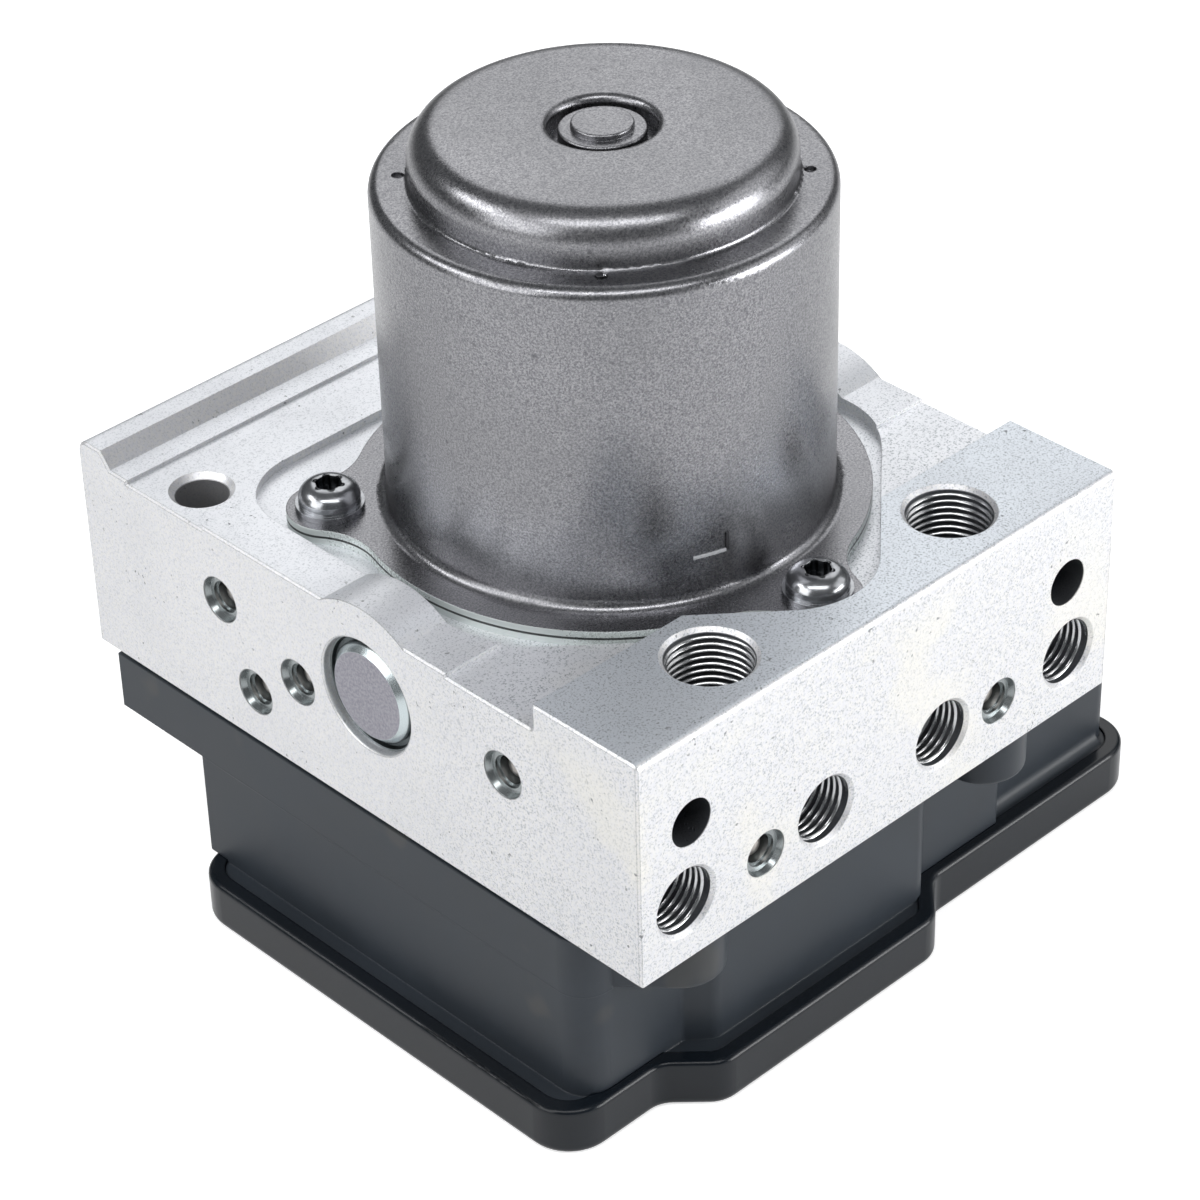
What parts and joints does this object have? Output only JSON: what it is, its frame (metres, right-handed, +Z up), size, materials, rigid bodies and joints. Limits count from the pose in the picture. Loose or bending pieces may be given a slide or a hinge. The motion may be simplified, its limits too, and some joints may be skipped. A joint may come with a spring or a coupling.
{
  "type": "anti-lock brake module",
  "caption": "Hydraulic brake pressure module: aluminium valve block with threaded ports, round pump motor bolted on top and a flat plastic electronics housing beneath.",
  "frame": {"origin": "on the motor axis, on the underside of the cover", "axes": "+Z up along the motor axis and out of the inlet ports, -Y out of the wheel ports, +X towards the connector"},
  "size_m": [0.1141, 0.106, 0.1173],
  "materials": {
    "block_aluminium": "machined, satin",
    "piston_aluminium": "anodised, satin",
    "can_steel": "zinc plated, satin",
    "screw_zinc": "bright zinc",
    "plug_steel": "bright",
    "ball_steel": "dark, satin",
    "steel": "ground",
    "lamination": "dull",
    "ferrite": "dull",
    "copper": "enamelled",
    "bronze": "plain",
    "tinned_brass": "tin plated",
    "carbon": "dull",
    "inner_plastic": "matt",
    "housing_plastic": "satin",
    "cover_plastic": "satin gloss",
    "board_green": "lacquered",
    "seal_rubber": "matt"
  },
  "bodies": {
    "module": {"accumulator_cap_left": "steel", "accumulator_cap_right": "steel", "accumulator_spring_left": "steel", "accumulator_spring_right": "steel", "brush_holder": "inner_plastic", "brush_left": "carbon", "brush_right": "carbon", "circuit_board": "board_green", "connector_pins": "tinned_brass", "ecu_cover": "cover_plastic", "ecu_housing": "housing_plastic", "front_ball_plugs": "plug_steel", "front_bearing": "steel", "housing_screws": "screw_zinc", "housing_seal": "seal_rubber", "inlet_coil_1": "inner_plastic", "inlet_coil_2": "inner_plastic", "inlet_coil_3": "inner_plastic", "inlet_coil_4": "inner_plastic", "inlet_valve_1": "steel", "inlet_valve_2": "steel", "inlet_valve_3": "steel", "inlet_valve_4": "steel", "left_ball_plugs": "plug_steel", "motor_can": "can_steel", "motor_end_plate": "can_steel", "motor_lead_pins": "tinned_brass", "motor_lead_sleeve": "inner_plastic", "motor_magnets": "ferrite", "motor_screws": "screw_zinc", "outlet_coil_1": "inner_plastic", "outlet_coil_2": "inner_plastic", "outlet_coil_3": "inner_plastic", "outlet_coil_4": "inner_plastic", "outlet_valve_1": "steel", "outlet_valve_2": "steel", "outlet_valve_3": "steel", "outlet_valve_4": "steel", "plug_balls": "ball_steel", "pump_plug_left": "plug_steel", "pump_plug_right": "plug_steel", "pump_sleeve_left": "steel", "pump_sleeve_right": "steel", "pump_spring_left": "steel", "pump_spring_right": "steel", "rear_bearing": "bronze", "right_ball_plugs": "plug_steel", "shaft_bush": "bronze", "valve_block": "block_aluminium"},
    "rotor": {"armature_core": "lamination", "armature_winding": "copper", "commutator": "copper", "motor_shaft": "steel", "pump_ring": "steel"},
    "pump_piston_left": {"pump_piston_left": "steel"},
    "pump_piston_right": {"pump_piston_right": "steel"},
    "accumulator_piston_left": {"accumulator_piston_left": "piston_aluminium"},
    "accumulator_piston_right": {"accumulator_piston_right": "piston_aluminium"}
  },
  "joints": [
    {"name": "rotor_spin", "type": "hinge", "parent": "module", "child": "rotor", "pos_m": [0, 0, 0.08], "axis": [0, 0, 1], "continuous": true},
    {"name": "pump_stroke_left", "type": "slide", "parent": "module", "child": "pump_piston_left", "axis": [-1, 0, 0], "range_m": [0, 0.002], "stiffness_N_per_m": 1500, "springref_m": -0.002, "deforming": ["pump_spring_left"]},
    {"name": "pump_stroke_right", "type": "slide", "parent": "module", "child": "pump_piston_right", "axis": [1, 0, 0], "range_m": [0, 0.002], "stiffness_N_per_m": 1500, "springref_m": -0.002, "deforming": ["pump_spring_right"]},
    {"name": "accumulator_stroke_left", "type": "slide", "parent": "module", "child": "accumulator_piston_left", "axis": [0, 0, -1], "range_m": [0, 0.006], "stiffness_N_per_m": 2000, "springref_m": -0.003, "deforming": ["accumulator_spring_left"]},
    {"name": "accumulator_stroke_right", "type": "slide", "parent": "module", "child": "accumulator_piston_right", "axis": [0, 0, -1], "range_m": [0, 0.006], "stiffness_N_per_m": 2000, "springref_m": -0.003, "deforming": ["accumulator_spring_right"]}
  ]
}
